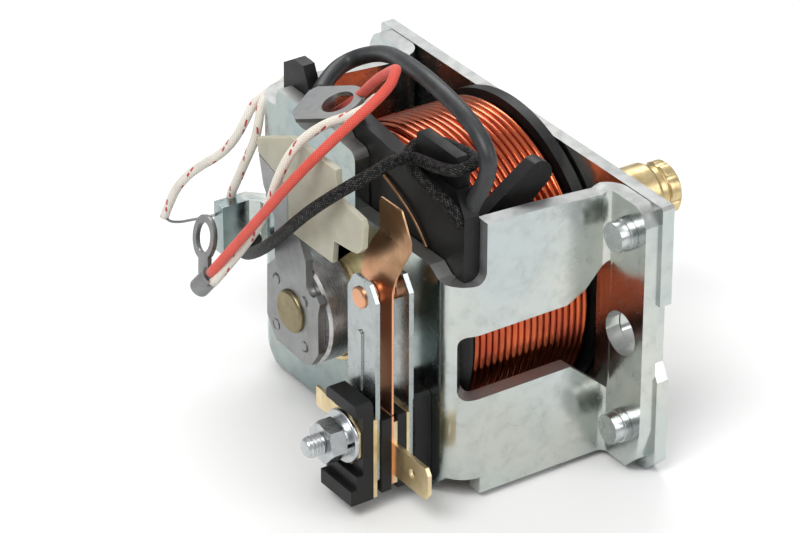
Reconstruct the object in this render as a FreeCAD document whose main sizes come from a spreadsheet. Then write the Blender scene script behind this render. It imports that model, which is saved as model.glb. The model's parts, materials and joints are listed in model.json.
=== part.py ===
import FreeCAD, Part
import Sketcher
import math
import os
from FreeCAD import Vector, Placement, Rotation

# Starter solenoid: pull coil in a strap yoke on a mounting plate, with a
# plunger, a brass push rod and a side contact stack worked by the plunger.
# +X runs along the coil axis towards the mounting plate, whose outer face is
# x = 0.  The axis is y = 0, z = 0, and +Z is up.  Millimetres.

doc = FreeCAD.newDocument("starter_solenoid")
dims = doc.addObject("Spreadsheet::Sheet", "dims")

VALUES = [
    # mounting plate
    ("plate_thick", 2.5), ("plate_half_width", 43.1), ("plate_top", 25.4),
    ("plate_bottom", 28.3), ("plate_bore_radius", 6.2), ("fixing_radius", 4.15),
    ("fixing_offset", 36.1), ("fixing_height", -1.5), ("rivet_radius", 1.6),
    ("rivet_offset", 37.4), ("rivet_upper", 19.1), ("rivet_lower", -19.3),
    # strap yoke
    ("sheet_thick", 3.0), ("yoke_half_width", 31.85), ("yoke_depth", 37.5),
    ("yoke_bend_outer", 5.5), ("yoke_low", -27.15), ("yoke_high", 57.15),
    ("flange_half", 42.4), ("flange_bend_inner", 1.5),
    ("web_hole_radius", 11.45), ("window_top", 4.8), ("window_low", -7.9),
    ("notch_floor", 14.6), ("web_top", 16.7), ("wall_top", 26.16),
    # coil
    ("coil_outer", 27.65), ("coil_inner", 19.5), ("coil_start", -31.05),
    ("coil_end", -5.3), ("coil_turns", 19), ("spool_bore", 11.45),
    ("spool_wall", 12.6), ("spool_flange", 28.4),
    # magnetic parts
    ("tube_bore", 10.28), ("tube_outer", 11.38), ("tube_front", -42.5),
    ("core_radius", 10.24), ("core_face", -16.0), ("core_bore", 5.67),
    ("spring_seat", 7.6), ("core_seat", -12.0), ("plunger_radius", 10.2),
    ("plunger_front", -48.5), ("plunger_back", -22.0), ("plunger_seat", -34.0),
    ("rod_small", 2.5), ("rod_guide", 5.6), ("rod_large", 5.85), ("rod_step", -11.0),
    ("rod_tip", 32.0), ("rod_neck", 4.6), ("rod_lobe", 5.2),
    ("armature_thick", 1.5), ("head_radius", 4.0), ("head_high", 0.8),
    ("spring_mean", 6.7), ("spring_wire", 0.45), ("spring_turns", 5),
    # contact stack
    ("stack_near", -25.0), ("stack_far", -15.8), ("stud_side", -20.3),
    ("stud_height", -14.1), ("stud_radius", 2.0), ("stud_core", 1.75), ("stud_clear", 2.3),
    ("stud_end", -60.6), ("contact_side", -20.0), ("contact_height", 12.0),
    ("strip_thick", 1.0), ("tan_thick", 0.8), ("blade_thick", 0.4),
    ("tab_width", 6.3), ("washer_radius", 4.95), ("washer_thick", 0.8),
    ("nut_flats", 7.0), ("nut_thick", 3.2), ("nylon_thick", 1.5),
    # leads
    ("main_lead_radius", 1.5), ("sleeve_radius", 1.1), ("red_radius", 0.9),
    ("white_radius", 0.85), ("wire_radius", 0.25), ("tail_radius", 0.3),
]
for row, (alias, number) in enumerate(VALUES, start=1):
    dims.set("A%d" % row, alias)
    dims.set("B%d" % row, str(number))
    dims.setAlias("B%d" % row, alias)
doc.recompute()


def d(alias):
    return float(dims.get(alias))


nodes = []
counter = [0]


def node(obj, label):
    obj.Label = label
    nodes.append(obj)
    return obj


def set_value(obj, prop, value):
    # a string is a sheet expression, a number is taken as it is
    if isinstance(value, str):
        obj.setExpression(prop, value)
    else:
        setattr(obj, prop, float(value))


def body(label, x=0.0, y=0.0, z=0.0):
    b = doc.addObject("PartDesign::Body", label)
    base = []
    for axis, v in (("x", x), ("y", y), ("z", z)):
        if isinstance(v, str):
            b.setExpression("Placement.Base." + axis, v)
            base.append(0.0)
        else:
            base.append(float(v))
    b.Placement = Placement(Vector(*base), Rotation())
    for axis, v in (("x", x), ("y", y), ("z", z)):
        if isinstance(v, str):
            b.setExpression("Placement.Base." + axis, v)
    return node(b, label)


def plane_of(b, role):
    for feature in b.Origin.OriginFeatures:
        if feature.Role == role:
            return feature
    raise RuntimeError(role)


def sketch(b, role, offset=0.0):
    counter[0] += 1
    s = b.newObject("Sketcher::SketchObject", "outline_%d" % counter[0])
    s.AttachmentSupport = [(plane_of(b, role), "")]
    s.MapMode = "FlatFace"
    if isinstance(offset, str):
        s.setExpression("AttachmentOffset.Base.z", offset)
    else:
        s.AttachmentOffset = Placement(Vector(0, 0, offset), Rotation())
    return s


def loop(s, points, tie=True):
    # points are (a, b) for a straight side to that corner, or
    # (mid_a, mid_b, a, b) for an arc through the middle point
    ends = [(p[-2], p[-1]) for p in points]
    ids = []
    for i in range(len(points)):
        start = Vector(ends[i - 1][0], ends[i - 1][1], 0)
        end = Vector(ends[i][0], ends[i][1], 0)
        p = points[i]
        if len(p) == 2:
            g = s.addGeometry(Part.LineSegment(start, end), False)
            ids.append((g, 1, 2))
        else:
            mid = Vector(p[0], p[1], 0)
            if (mid - start).cross(end - mid).z > 0:
                g = s.addGeometry(Part.Arc(start, mid, end), False)
                ids.append((g, 1, 2))
            else:
                # arcs run counter-clockwise in a sketch
                g = s.addGeometry(Part.Arc(end, mid, start), False)
                ids.append((g, 2, 1))
    for i in range(len(ids) if tie else 0):
        a = ids[i - 1]
        c = ids[i]
        s.addConstraint(Sketcher.Constraint("Coincident", a[0], a[2], c[0], c[1]))


def mirrored(points):
    # the same outline on the other side of the second axis of the frame
    return [tuple(p) for p in
            [(-q[0], q[1]) if len(q) == 2 else (-q[0], q[1], -q[2], q[3])
             for q in points]]


def circle(s, a, b, radius):
    r = radius if not isinstance(radius, str) else d(radius.split(".")[1])
    g = s.addGeometry(Part.Circle(Vector(a, b, 0), Vector(0, 0, 1), r), False)
    k = s.addConstraint(Sketcher.Constraint("Radius", g, r))
    if isinstance(radius, str):
        s.setExpression("Constraints[%d]" % k, radius)
    return g


def pad(b, s, length, reverse=False):
    counter[0] += 1
    f = b.newObject("PartDesign::Pad", "pad_%d" % counter[0])
    f.Profile = s
    f.Length = 1.0
    set_value(f, "Length", length)
    f.Reversed = reverse
    return f


def pocket(b, s, length, reverse=False):
    counter[0] += 1
    f = b.newObject("PartDesign::Pocket", "pocket_%d" % counter[0])
    f.Profile = s
    f.Length = 1.0
    set_value(f, "Length", length)
    f.Reversed = reverse
    return f


def turn(b, points, angle=360.0, tie=True):
    # profile of (x, radius) turned about the X axis of the body
    s = sketch(b, "XY_Plane")
    loop(s, points, tie)
    f = b.newObject("PartDesign::Revolution", "turned_%d" % (counter[0]))
    f.Profile = s
    f.ReferenceAxis = (s, ["H_Axis"])
    f.Angle = angle
    return f


def rod(name, radius, x0, length, y=0.0, z=0.0):
    c = doc.addObject("Part::Cylinder", name)
    c.Radius = 1.0
    c.Height = 1.0
    set_value(c, "Radius", radius)
    set_value(c, "Height", length)
    c.Placement = Placement(Vector(x0, y, z), Rotation(Vector(0, 1, 0), 90))
    return c


# ---------------------------------------------------------------- plate
PT = d("plate_thick")
HW = d("plate_half_width")
plate = body("mounting_plate", x="-dims.plate_thick")
s = sketch(plate, "YZ_Plane")
near = [(-HW + 0.5, d("plate_top")), (-HW, d("plate_top") - 0.5), (-HW, 6.0),
        (-HW + 1.8, 6.0), (-HW + 1.8, -6.1), (-HW, -9.3), (-HW, -25.5),
        (-HW + 2.9, -d("plate_bottom"))]
far = [(-a, b) for a, b in reversed(near)]
loop(s, near + far)
pad(plate, s, "dims.plate_thick")
s = sketch(plate, "YZ_Plane", "dims.plate_thick + 1")
circle(s, 0, 0, "dims.plate_bore_radius")
for side in (-1, 1):
    circle(s, side * d("fixing_offset"), d("fixing_height"), "dims.fixing_radius")
    circle(s, side * d("rivet_offset"), d("rivet_upper"), "dims.rivet_radius")
    circle(s, side * d("rivet_offset"), d("rivet_lower"), "dims.rivet_radius")
pocket(plate, s, "dims.plate_thick + 2")

# ---------------------------------------------------------------- yoke
T = d("sheet_thick")
W = d("yoke_half_width")
L = d("yoke_depth")
RO = d("yoke_bend_outer")
RI = RO - T
FX = -PT                       # inner face of the mounting plate
FB = d("flange_bend_inner")
FO = FB + T
FH = d("flange_half")
q = math.sqrt(0.5)
wi = W - T
cx = FX - T - FB               # bend centre at the flange
cy = W + FB
bx = -L + RO                   # bend centre at the web
by = W - RO
yoke = body("yoke_frame")
s = sketch(yoke, "XY_Plane", "dims.yoke_low")
loop(s, [
    (FX - T, -FH), (FX, -FH), (FX, -cy),
    (cx + FO * q, -cy + FO * q, cx, -wi),
    (bx, -wi), (bx - RI * q, -by - RI * q, bx - RI, -by),
    (bx - RI, by), (bx - RI * q, by + RI * q, bx, wi),
    (cx, wi), (cx + FO * q, cy - FO * q, FX, cy),
    (FX, FH), (FX - T, FH), (FX - T, cy),
    (cx + FB * q, cy - FB * q, cx, W),
    (bx, W), (bx - RO * q, by + RO * q, -L, by),
    (-L, -by), (bx - RO * q, -by - RO * q, bx, -W),
    (cx, -W), (cx + FB * q, -cy + FB * q, FX - T, -cy)])
pad(yoke, s, "dims.yoke_high")
# upper edge of walls and flanges
s = sketch(yoke, "XZ_Plane", 50.0)
loop(s, [(-33.9, d("wall_top")), (-31.0, d("wall_top")), (-20.0, 25.6),
         (-7.2, 24.5), (-5.6, 25.2), (1.0, 25.2), (1.0, 33.0), (-33.9, 33.0)])
pocket(yoke, s, 100.0)
# upper edge of the web, with the raised ear on the far half
s = sketch(yoke, "YZ_Plane", -33.5)
loop(s, [(-34.0, d("notch_floor")), (-28.2, d("notch_floor")), (-26.6, d("notch_floor") + 0.5),
         (-24.2, d("web_top")), (-1.2, d("web_top")), (-1.2, 25.8),
         (-0.9, 27.0, 0.2, 27.9), (3.2, 28.2), (4.7, 29.6), (23.6, 29.6),
         (24.4, d("wall_top")), (34.0, d("wall_top")), (34.0, 33.0), (-34.0, 33.0)])
pocket(yoke, s, 5.0)
# notch through the near bend
s = sketch(yoke, "XY_Plane", 33.0)
loop(s, [(bx, -by), (bx - 8.0 * math.cos(math.radians(25)), -by - 8.0 * math.sin(math.radians(25))),
         (bx - 7.25, -36.0), (-31.0, -36.0), (-31.0, -by)])
pocket(yoke, s, "33 - dims.notch_floor")
# windows in both walls, with rounded ends in the bends
for offset in (50.0, -27.5):
    s = sketch(yoke, "XZ_Plane", offset)
    loop(s, [(bx, 4.8), (-14.0, 4.8), (-10.1, 6.7), (-6.1, 11.0), (-5.6, 11.6),
             (-5.6, -14.2), (-13.0, -7.9), (bx, -7.9)])
    pocket(yoke, s, 22.5)
s = sketch(yoke, "XY_Plane", "dims.window_top")
wedge = [(bx, -by), (bx - 7.0, -by - 7.0), (bx - 7.0, -38.0), (bx + 0.1, -38.0), (bx + 0.1, -by)]
loop(s, wedge)
loop(s, [(a, -b) for a, b in wedge])
pocket(yoke, s, "dims.window_top - dims.window_low")
# flange corners
s = sketch(yoke, "YZ_Plane", -2.0)
top = [(-39.0, 25.4), (-41.1, 24.3), (-42.5, 21.8), (-44.0, 21.8), (-44.0, 27.0), (-39.0, 27.0)]
low = [(-38.6, -27.3), (-39.4, -26.5), (-41.4, -24.6), (-42.5, -18.3), (-44.0, -18.3),
       (-44.0, -29.0), (-38.6, -29.0)]
for outline in (top, low, mirrored(top), mirrored(low)):
    loop(s, outline)
pocket(yoke, s, 5.0)
# lower corners of the web
s = sketch(yoke, "YZ_Plane", bx)
chamfer = [(25.0, -27.3), (28.7, -23.9), (33.0, -23.9), (33.0, -29.0), (25.0, -29.0)]
loop(s, chamfer)
loop(s, mirrored(chamfer))
pocket(yoke, s, 7.0)
# hole for the guide tube and for the stud
s = sketch(yoke, "YZ_Plane", -33.0)
circle(s, 0, 0, "dims.web_hole_radius")
circle(s, d("stud_side"), d("stud_height"), "dims.stud_core")
pocket(yoke, s, 6.0)
# fixing and rivet holes
s = sketch(yoke, "YZ_Plane", -2.0)
for side in (-1, 1):
    circle(s, side * d("fixing_offset"), d("fixing_height"), "dims.fixing_radius")
    circle(s, side * d("rivet_offset"), d("rivet_upper"), "dims.rivet_radius")
    circle(s, side * d("rivet_offset"), d("rivet_lower"), "dims.rivet_radius")
pocket(yoke, s, 6.0)
doc.recompute()


def round_edges(b, radius, wanted):
    # rounds the edges whose middle point passes the test
    base = b.Tip
    names = []
    for i, e in enumerate(base.Shape.Edges, start=1):
        m = e.valueAt((e.FirstParameter + e.LastParameter) / 2.0)
        if wanted(m, e):
            names.append("Edge%d" % i)
    if not names:
        print("no edges to round on", b.Label)
        return None
    f = b.newObject("PartDesign::Fillet", "rounding_%s" % b.Label)
    f.Base = (base, names)
    for r in (radius, radius * 0.8, radius * 0.6, radius * 0.4):
        f.Radius = r
        doc.recompute()
        if not f.Shape.isNull() and f.Shape.isValid() and "Invalid" not in f.State:
            b.Tip = f
            doc.recompute()
            print("rounded", b.Label, len(names), "edges", r)
            return f
    print("rounding dropped on", b.Label, names)
    doc.removeObject(f.Name)
    b.Tip = base
    doc.recompute()
    return None


def straight(e):
    return e.Curve.TypeId == "Part::GeomLine"


def slot_corner(m, e):
    if not straight(e) or abs(e.tangentAt(e.FirstParameter).z) > 0.01:
        return False
    if abs(m.z - d("notch_floor")) < 0.01 and m.y < -24.0 and m.x > -31.5 and abs(e.Length - T) < 0.8:
        return True
    return False


def window_corner(m, e):
    if not straight(e) or abs(e.tangentAt(e.FirstParameter).z) > 0.01:
        return False
    if abs(e.tangentAt(e.FirstParameter).x) < 0.3:
        return False
    for level in (d("window_top"), d("window_low")):
        if abs(m.z - level) < 0.01 and abs(m.y) > 26.0 and m.x < bx - 0.5 and abs(e.Length - T) < 0.6:
            return True
    return False


round_edges(yoke, 2.8, slot_corner)
round_edges(yoke, 2.0, window_corner)

# ---------------------------------------------------------------- rivets
rivets = []
for side in (-1, 1):
    for level in ("rivet_upper", "rivet_lower"):
        y = side * d("rivet_offset")
        z = d(level)
        parts = [rod("rivet_shank_%d" % len(rivets), "dims.rivet_radius", FX - T, T + PT, y, z),
                 rod("rivet_head_%d" % len(rivets), 3.0, FX - T - 1.4, 1.4, y, z),
                 rod("rivet_step_%d" % len(rivets), 2.75, FX - T - 3.3, 1.9, y, z)]
        f = doc.addObject("Part::MultiFuse", "rivet_%d" % len(rivets))
        f.Shapes = parts
        rivets.append(f)
group = doc.addObject("Part::Compound", "flange_rivets")
group.Links = rivets
node(group, "flange_rivets")

# ---------------------------------------------------------------- spool
SB = d("spool_bore")
SW = d("spool_wall")
SF = d("spool_flange")
spool = body("bobbin")
turn(spool, [(-34.3, SB), (-34.3, 26.3), (-33.2, 27.7), (-31.9, SF), (-31.2, SF), (-31.2, SW),
             (-5.2, SW), (-5.2, SF), (-3.0, SF), (-3.0, SB)])
# lead tower above the web and in the near notch
s = sketch(spool, "YZ_Plane", -34.35)
loop(s, [(8.6, 26.5), (8.6, 28.8), (3.3, 32.0), (-8.0, 30.6), (-18.0, 31.5), (-27.4, 31.5),
         (-29.0, 28.4), (-29.8, 27.0), (-29.8, 14.8), (-26.6, 14.8), (-24.0, 12.0), (-20.0, 15.0), (-10.0, 23.0)])
pad(spool, s, 3.0)
# post that the braided sleeve is tied to
s = sketch(spool, "YZ_Plane", -33.6)
loop(s, [(-14.3, 29.0), (-14.3, 36.6), (-14.8, 37.1), (-26.2, 37.0), (-27.0, 36.2), (-27.0, 29.0)])
pad(spool, s, 2.25)
# finger along the coil
s = sketch(spool, "XZ_Plane", 23.8)
loop(s, [(-32.0, 15.2), (-32.0, 21.6), (-17.8, 31.2), (-14.6, 30.5, -14.4, 27.3), (-19.4, 23.2)])
pad(spool, s, 2.8)
# fin at the far corner
s = sketch(spool, "YZ_Plane", -34.35)
loop(s, [(26.4, 20.0), (26.4, 33.0), (23.1, 35.0), (20.0, 34.9), (17.5, 29.5), (14.5, 23.0), (19.0, 17.0)])
pad(spool, s, 2.4)

# ---------------------------------------------------------------- windings
CO = d("coil_outer")
CS = d("coil_start")
CE = d("coil_end")
turns = int(d("coil_turns"))
pitch = (CE - CS) / turns
winding = body("outer_winding")
outline = [(CE, d("coil_inner")), (CS, d("coil_inner")), (CS, CO - 0.62)]
for k in range(turns):
    x0 = CS + k * pitch
    outline.append((x0 + pitch / 2.0, CO, x0 + pitch, CO - 0.62))
turn(winding, outline)
inner = body("inner_winding")
turn(inner, [(CS, SW + 0.02), (CS, d("coil_inner") - 0.02), (CE, d("coil_inner") - 0.02), (CE, SW + 0.02)])

# ---------------------------------------------------------------- tube, core
tube = body("guide_tube")
turn(tube, [(d("tube_front"), d("tube_bore") + 0.25), (d("tube_front") + 0.25, d("tube_bore")),
            (-2.6, d("tube_bore")), (-2.6, d("tube_outer")), (d("tube_front") + 0.3, d("tube_outer")),
            (d("tube_front"), d("tube_outer") - 0.3)])
core = body("fixed_core")
turn(core, [(d("core_face"), d("spring_seat")), (d("core_face"), d("core_radius")),
            (FX, d("core_radius")), (FX, d("core_bore")), (d("core_seat"), d("core_bore")),
            (d("core_seat"), d("spring_seat"))])

# ---------------------------------------------------------------- plunger
PR = d("plunger_radius")
PF = d("plunger_front")
plunger = body("plunger")
turn(plunger, [(PF, d("rod_small") + 0.02), (PF, PR - 0.5), (PF + 0.5, PR), (d("plunger_back"), PR),
               (d("plunger_back"), d("spring_seat")), (d("plunger_seat"), d("spring_seat")),
               (d("plunger_seat"), d("rod_small") + 0.02)])
AT = d("armature_thick")
armature = body("armature_plate", x="dims.plunger_front - dims.armature_thick")
s = sketch(armature, "YZ_Plane")
loop(s, [(7.9, 5.6), (8.2, -4.4), (5.4, -8.3), (-4.0, -8.9), (-6.2, -8.0), (-8.4, -4.8), (-8.4, 3.2),
         (-9.0, 5.4), (-7.8, 6.6), (-6.6, 5.9, -4.7, 8.2), (-4.6, 9.6), (-4.6, 12.0), (-2.6, 15.6),
         (0.9, 15.6), (0.9, 23.9), (10.2, 26.6), (8.8, 21.0), (5.4, 16.0), (5.4, 7.9)])
pad(armature, s, "dims.armature_thick")
s = sketch(armature, "YZ_Plane", 2.0)
circle(s, 0, 0, d("rod_small") + 0.02)
pins = [(4.9, 4.2), (-4.0, 3.7), (5.1, -5.2), (-4.0, -5.4)]
for a, b in pins:
    circle(s, a, b, 1.0)
pocket(armature, s, 3.0)
staked = []
for k, (a, b) in enumerate(pins):
    staked.append(rod("pin_%d" % k, 1.0, PF - AT - 0.15, AT + 0.15, a, b))
group = doc.addObject("Part::Compound", "staking_pins")
group.Links = staked
node(group, "staking_pins")

push = body("push_rod")
HX = PF - AT
RS = d("rod_small")
RL = d("rod_large")
turn(push, [(HX - 0.8, 0.0), (HX - 0.8, 3.2), (HX - 0.7, 3.75, HX - 0.35, 4.0), (HX, 4.0), (HX, RS),
            (d("rod_step") - 1.5, RS), (d("rod_step"), d("rod_guide")), (-0.25, d("rod_guide")),
            (0.0, RL), (26.4, RL), (27.1, RL - 0.3, 27.4, RL - 0.9),
            (27.5, d("rod_neck")), (29.0, d("rod_neck")), (29.3, d("rod_lobe")), (31.2, d("rod_lobe")),
            (d("rod_tip"), d("rod_lobe") - 0.9), (d("rod_tip"), 0.0)])
s = sketch(push, "YZ_Plane", 33.0)
circle(s, 0.0, 6.05, 1.25)
cut = pocket(push, s, 4.2)
ring = push.newObject("PartDesign::PolarPattern", "flutes")
ring.Originals = [cut]
ring.Axis = (plane_of(push, "X_Axis"), [""])
ring.Angle = 360.0
ring.Occurrences = 8
push.Tip = ring

# nylon piece on the armature plate, with the wing that pushes the blade
nylon = body("nylon_actuator", x="dims.plunger_front - dims.armature_thick")
s = sketch(nylon, "YZ_Plane")
loop(s, [(0.85, 15.7), (0.85, 24.0), (10.4, 26.8), (10.5, 29.6), (-0.1, 34.3), (-14.1, 34.2),
         (-15.0, 29.0), (-22.0, 28.2), (-22.6, 27.0), (-22.2, 22.6), (-20.7, 21.1), (-19.2, 20.8),
         (-13.5, 20.2), (-13.0, 15.7)])
pad(nylon, s, 1.2)
s = sketch(nylon, "YZ_Plane", 1.2)
loop(s, [(0.8, 15.8), (0.8, 24.0), (10.2, 26.9), (10.3, 29.4), (-0.2, 34.1), (-13.9, 34.0),
         (-14.6, 24.8), (-19.0, 24.8), (-19.0, 21.4), (-13.4, 20.6), (-12.8, 15.8)])
pad(nylon, s, 0.3)
s = sketch(nylon, "YZ_Plane", 1.5)
loop(s, [(-19.0, 24.8), (-19.0, 21.4), (-15.2, 21.4), (-15.2, 24.8)])
loop(s, [(-9.0, 16.5), (5.0, 16.5), (7.5, 21.5), (-9.0, 21.5)])
pad(nylon, s, 1.0)

# ---------------------------------------------------------------- stack
SN = d("stack_near")
SR = d("stack_far")
SY = d("stud_side")
SZ = d("stud_height")
CY = d("contact_side")
CZ = d("contact_height")


def layer(label, x, thick, outline, holes, more=None):
    b = body(label, x=x)
    s = sketch(b, "YZ_Plane")
    loop(s, outline)
    for a, c, r in holes:
        circle(s, a, c, r)
    pad(b, s, thick)
    return b


stud_hole = (SY, SZ, "dims.stud_clear")
layer("base_insulator", -41.0, 3.5,
      [(SN, -26.4), (SR, -26.4), (SR, -8.8), (SR - 0.8, -8.0), (SN + 0.8, -8.0), (SN, -8.8)], [stud_hole])
layer("right_fixed_contact", -42.0, "dims.strip_thick",
      [(-24.6, -22.5), (-23.8, -23.3), (-16.8, -23.3), (-16.0, -22.5), (-16.0, 12.6), (-17.8, 15.5),
       (-22.6, 15.5), (-24.6, 12.6)], [stud_hole, (CY, CZ, 1.3)])
layer("inner_terminal_strip", -42.7, 0.7,
      [(SN, -24.0), (SR, -24.0), (SR, -10.5), (SN, -10.5)], [stud_hole])
layer("spacer_b", -44.6, 1.9,
      [(SN, -25.2), (SR, -25.2), (SR, -10.4), (SN, -10.4)], [stud_hole])
tab = layer("blade_terminal", -45.4, "dims.tan_thick",
            [(SN, -24.0), (SR, -24.0), (SR, -11.6), (SN, -11.6), (SN, -16.0), (-34.6, -16.0),
             (-35.5, -17.2), (-35.5, -21.1), (-34.6, -22.3), (SN, -22.3)],
            [stud_hole, (-30.6, -19.15, 0.9)])
layer("blade_foot", -45.8, "dims.blade_thick",
      [(SN, -24.0), (-17.5, -24.0), (-17.5, -10.35), (SN, -10.35)], [stud_hole])
layer("spacer_a", -47.9, 2.1,
      [(SN, -25.2), (SR, -25.2), (SR, -10.5), (SN, -10.5)], [stud_hole])
left = layer("left_fixed_contact", -48.9, "dims.strip_thick",
             [(-24.6, -22.5), (-23.8, -23.3), (-16.8, -23.3), (-16.0, -22.5), (-16.0, 12.6),
              (-17.8, 15.6), (-22.6, 15.6), (-24.6, 12.6)], [stud_hole, (CY, CZ, 1.3)])
s = sketch(left, "YZ_Plane")
loop(s, [(-20.7, -5.8), (-20.0, -6.6, -19.3, -5.8), (-19.3, 4.8), (-20.0, 5.6, -20.7, 4.8)])
pad(left, s, 0.4, True)
layer("outer_terminal_strip", -49.7, "dims.tan_thick",
      [(SN - 0.2, -25.4), (SR + 0.2, -25.4), (SR + 0.2, -9.7), (SN - 0.2, -9.7)], [stud_hole])
clamp = layer("clamp_block", -51.9, 2.2,
              [(SN - 0.3, -25.6), (SR + 0.2, -25.6), (SR + 0.2, -6.8), (SR - 0.6, -6.0),
               (SN + 0.5, -6.0), (SN - 0.3, -6.8)], [stud_hole])
s = sketch(clamp, "YZ_Plane")
loop(s, [(SN - 0.3, -25.6), (SR + 0.2, -25.6), (SR + 0.2, -20.0), (SN - 0.3, -20.0)])
loop(s, [(SN - 0.3, -8.4), (SR + 0.2, -8.4), (SR + 0.2, -6.8), (SR - 0.6, -6.0), (SN + 0.5, -6.0), (SN - 0.3, -6.8)])
pad(clamp, s, 1.3, True)
s = sketch(clamp, "YZ_Plane", -1.3)
loop(s, [(SN - 0.3, -25.6), (SR + 0.2, -25.6), (SR + 0.2, -22.6), (SN - 0.3, -22.6)])
pad(clamp, s, 1.2, True)
layer("tongue_terminal", -52.5, 0.6,
      [(-24.8, -16.5), (-22.5, -18.8), (-18.0, -18.8), (-16.2, -17.0), (-16.2, -12.6), (-11.9, -12.6),
       (-11.4, -12.1), (-11.4, -8.7), (-11.9, -8.6), (-17.5, -9.2), (-22.5, -9.2), (-24.8, -11.6)],
      [stud_hole])

stud = body("stud", y="dims.stud_side", z="dims.stud_height")
SC = d("stud_core")
turn(stud, [(d("stud_end"), 0.0), (d("stud_end"), 1.5), (d("stud_end") + 0.5, 2.0), (-57.6, 2.0), (-57.45, SC),
            (-34.5, SC), (-34.5, 0.0)])
washer = body("flat_washer", y="dims.stud_side", z="dims.stud_height")
turn(washer, [(-53.3, 2.15), (-53.3, 4.75), (-53.1, 4.95), (-52.5, 4.95), (-52.5, 2.15)])
lock = body("spring_washer", y="dims.stud_side", z="dims.stud_height")
turn(lock, [(-54.2, 2.1), (-54.2, 3.6), (-53.3, 3.6), (-53.3, 2.1)])
s = sketch(lock, "YZ_Plane", -53.0)
loop(s, [(-4.2, -0.3), (-1.4, -0.6), (-1.4, 0.2), (-4.2, 0.5)])
pocket(lock, s, 1.5)
nut = body("hex_nut", x=-57.4, y="dims.stud_side", z="dims.stud_height")
s = sketch(nut, "YZ_Plane")
rad = d("nut_flats") / math.sqrt(3.0)
loop(s, [(rad * math.cos(math.radians(60 * k + 12)), rad * math.sin(math.radians(60 * k + 12))) for k in range(6)])
circle(s, 0, 0, "dims.stud_core")
pad(nut, s, "dims.nut_thick")
# chamfered ends of the nut
cone = nut.newObject("PartDesign::Groove", "nut_chamfer")
s = sketch(nut, "XY_Plane")
loop(s, [(-0.2, 3.3), (-0.2, 4.6), (0.75, 4.6)])
loop(s, [(3.4, 3.3), (3.4, 4.6), (2.45, 4.6)])
cone.Profile = s
cone.ReferenceAxis = (s, ["H_Axis"])
cone.Angle = 360.0
nut.Tip = cone

# contact rivets
contact = body("left_contact_rivet", y="dims.contact_side", z="dims.contact_height")
turn(contact, [(-49.4, 0.0), (-49.4, 1.7), (-49.2, 2.0), (-48.9, 2.0), (-48.9, 1.3), (-47.9, 1.3),
               (-47.9, 2.2), (-47.5, 2.2), (-47.4, 1.8), (-47.05, 1.7), (-47.05, 0.0)])
contact = body("right_contact_rivet", y="dims.contact_side", z="dims.contact_height")
turn(contact, [(-43.5, 0.0), (-43.5, 1.7), (-43.0, 1.8), (-42.9, 2.2), (-42.0, 2.2), (-42.0, 1.3),
               (-41.0, 1.3), (-41.0, 1.9), (-40.5, 1.7), (-40.5, 0.0)])
contact = body("blade_contacts", y="dims.contact_side", z="dims.contact_height")
turn(contact, [(-46.75, 0.0), (-46.75, 1.7), (-46.35, 1.8), (-46.25, 2.2), (-45.8, 2.2), (-45.8, 1.3),
               (-45.4, 1.3), (-45.4, 2.2), (-45.0, 2.2), (-44.9, 1.8), (-44.5, 1.7), (-44.5, 0.0)])

# copper blade with the leaning flag
blade = body("contact_blade")
s = sketch(blade, "XZ_Plane", 15.0)
loop(s, [(-45.8, -10.0), (-45.4, -10.0), (-45.4, 14.0), (-43.0, 22.0), (-43.0, 29.1), (-43.4, 29.1),
         (-43.4, 22.06), (-45.8, 14.06)])
pad(blade, s, 12.4)
s = sketch(blade, "YZ_Plane", -42.0)
loop(s, [(-32.0, -12.0), (-12.0, -12.0), (-12.0, 32.0), (-32.0, 32.0)])
loop(s, [(-25.0, -10.5), (-25.0, 15.0), (-25.1, 17.0), (-25.6, 18.3), (-26.9, 22.2), (-27.0, 23.8),
         (-25.8, 26.1), (-24.3, 28.8), (-24.0, 29.0), (-18.0, 28.9), (-17.6, 27.9), (-17.6, 22.6),
         (-16.2, 20.0), (-15.5, 17.5), (-15.4, 15.5), (-15.7, 13.8), (-17.5, 12.2), (-17.5, -10.5)])
pocket(blade, s, 5.0)
s = sketch(blade, "YZ_Plane", -42.0)
circle(s, CY, CZ, 1.3)
pocket(blade, s, 5.0)

# bracket on the far wall
bracket = body("side_bracket")
s = sketch(bracket, "XY_Plane", -8.3)
loop(s, [(-42.0, 35.5), (-36.4, 35.5), (-34.9, 34.0), (-34.9, W + 0.0), (-25.0, W + 0.0), (-25.0, W + 3.0),
         (-31.9, W + 3.0), (-31.9, 35.3), (-35.2, 38.6), (-42.0, 38.6)])
pad(bracket, s, 10.0)
s = sketch(bracket, "XY_Plane", -12.0)
loop(s, [(-31.8, W), (-25.0, W), (-25.0, W + 3.0), (-31.8, W + 3.0)])
pad(bracket, s, 21.0)


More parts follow.
